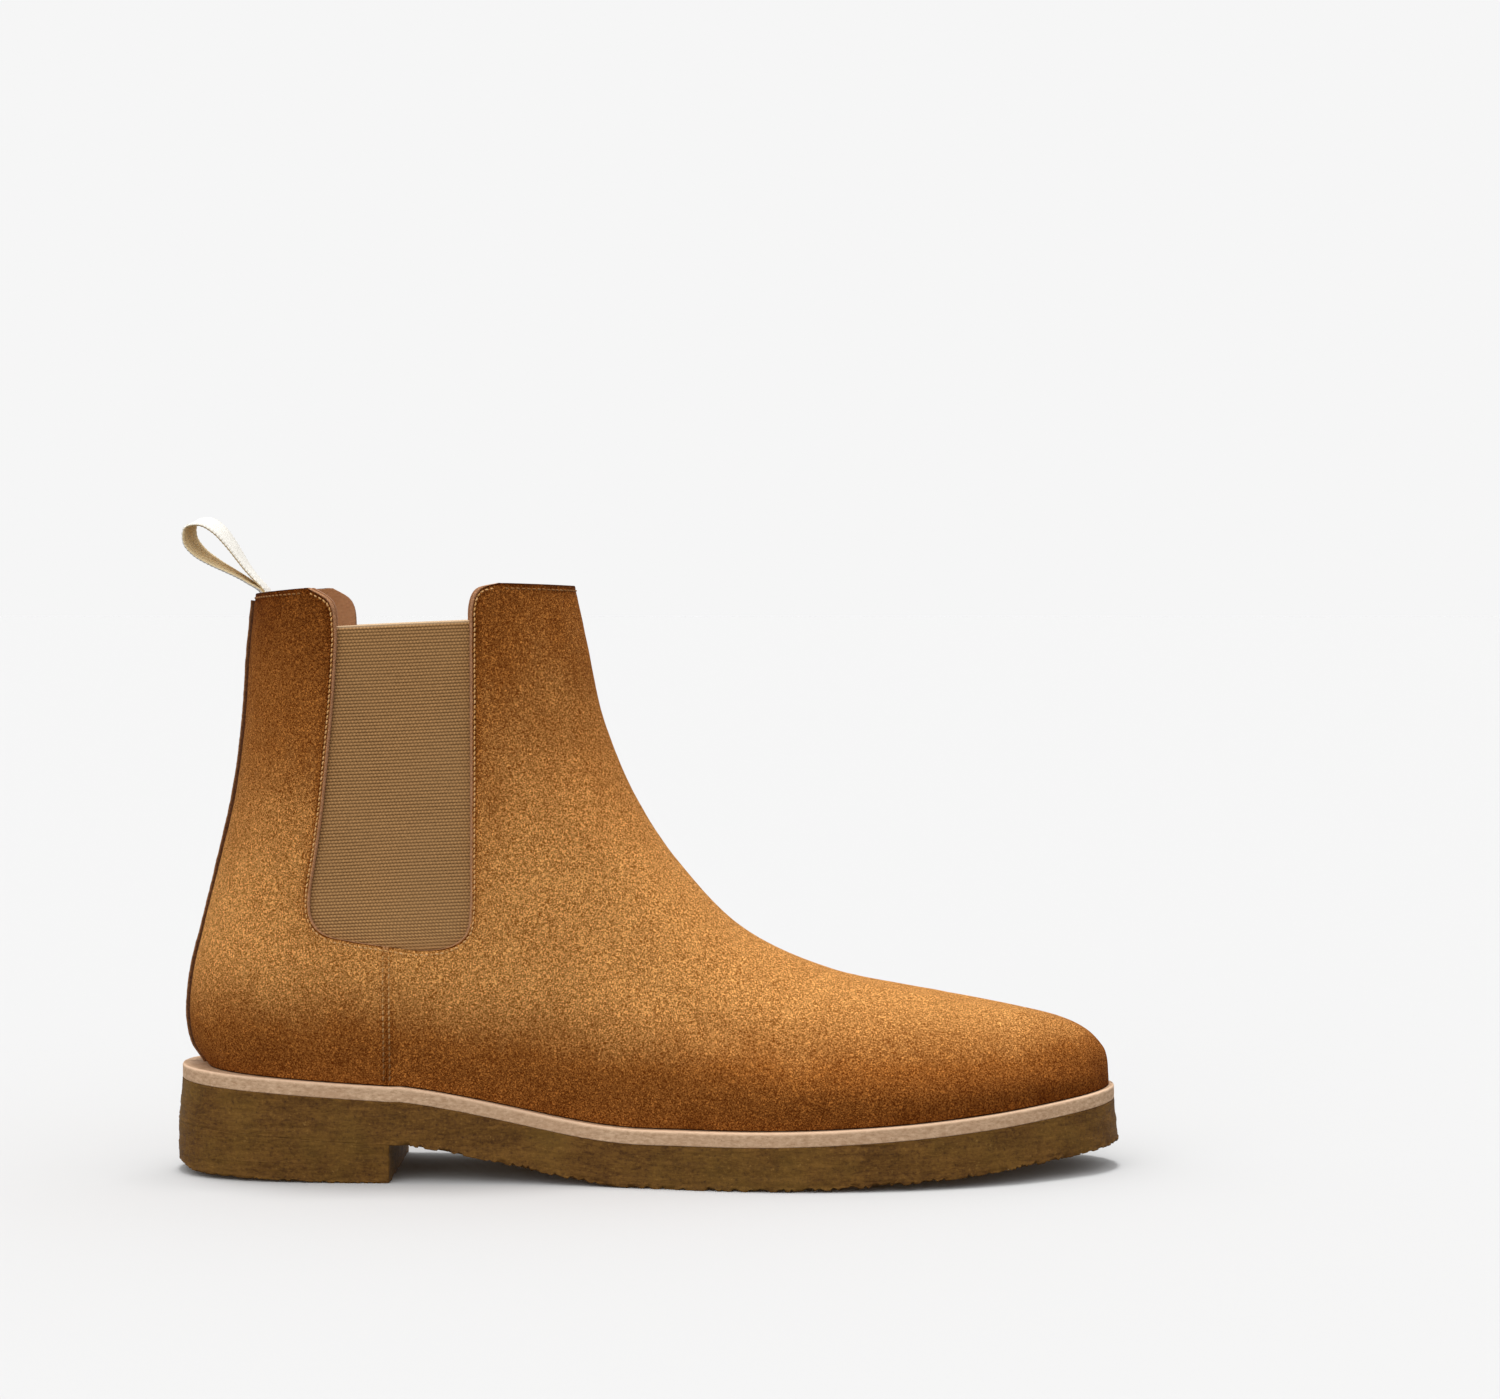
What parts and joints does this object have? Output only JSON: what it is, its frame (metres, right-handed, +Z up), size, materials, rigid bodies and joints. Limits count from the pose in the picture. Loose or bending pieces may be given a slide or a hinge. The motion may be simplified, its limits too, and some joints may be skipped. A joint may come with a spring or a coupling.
{
  "type": "chelsea boot",
  "caption": "Ankle-high suede chelsea boot for a right foot, with elastic side gussets, a webbing pull loop at the heel, a leather midsole and a crepe sole with a low stacked heel.",
  "frame": {"origin": "floor level, at the middle of the sole's length and width", "axes": "+X from the heel to the toe, +Y to the medial (inner) side, +Z up"},
  "size_m": [0.2996, 0.103, 0.2074],
  "materials": {
    "suede": "napped suede, golden tan, matt, darker brown at the tabs and along the sole",
    "suede_edge": "cut suede edge, dark brown, matt",
    "elastic": "ribbed elastic webbing, taupe, matt",
    "webbing": "woven cotton tape, off-white, matt",
    "lining": "smooth vegetable-tanned leather, tan, satin",
    "fibre_sheet": "pressed fibre sheet, matt",
    "shank": "spring steel strip",
    "cork": "granulated cork sheet, matt",
    "foam": "latex foam sheet, matt",
    "midsole": "natural vegetable-tanned sole leather, smooth cut edge",
    "crepe": "natural crepe rubber, olive brown, layered, satin",
    "thread": "waxed sewing thread, light tan"
  },
  "bodies": {
    "boot": {"vamp": "suede", "lateral_quarter": "suede", "medial_quarter": "suede", "back_seam_strip": "suede_edge", "lateral_gusset": "elastic", "medial_gusset": "elastic", "pull_loop_anchor": "webbing", "vamp_lining": "lining", "lateral_quarter_lining": "lining", "medial_quarter_lining": "lining", "toe_puff": "fibre_sheet", "heel_counter": "fibre_sheet", "insole_board": "fibre_sheet", "shank": "shank", "bottom_filler": "cork", "heel_pad": "foam", "sock_liner": "lining", "midsole": "midsole", "outsole": "crepe", "heel_lift": "crepe", "heel_top_piece": "crepe", "lateral_gusset_stitching": "thread", "medial_gusset_stitching": "thread", "lateral_side_stitching": "thread", "medial_side_stitching": "thread", "front_topline_stitching": "thread", "back_topline_stitching": "thread"},
    "loop": {"pull_loop": "webbing"}
  },
  "joints": [
    {"name": "pull_loop_hinge", "type": "hinge", "parent": "boot", "child": "loop", "pos_m": [-0.1237, 0.00251, 0.185], "axis": [0, 1, 0], "range_deg": [-35, 110]}
  ]
}
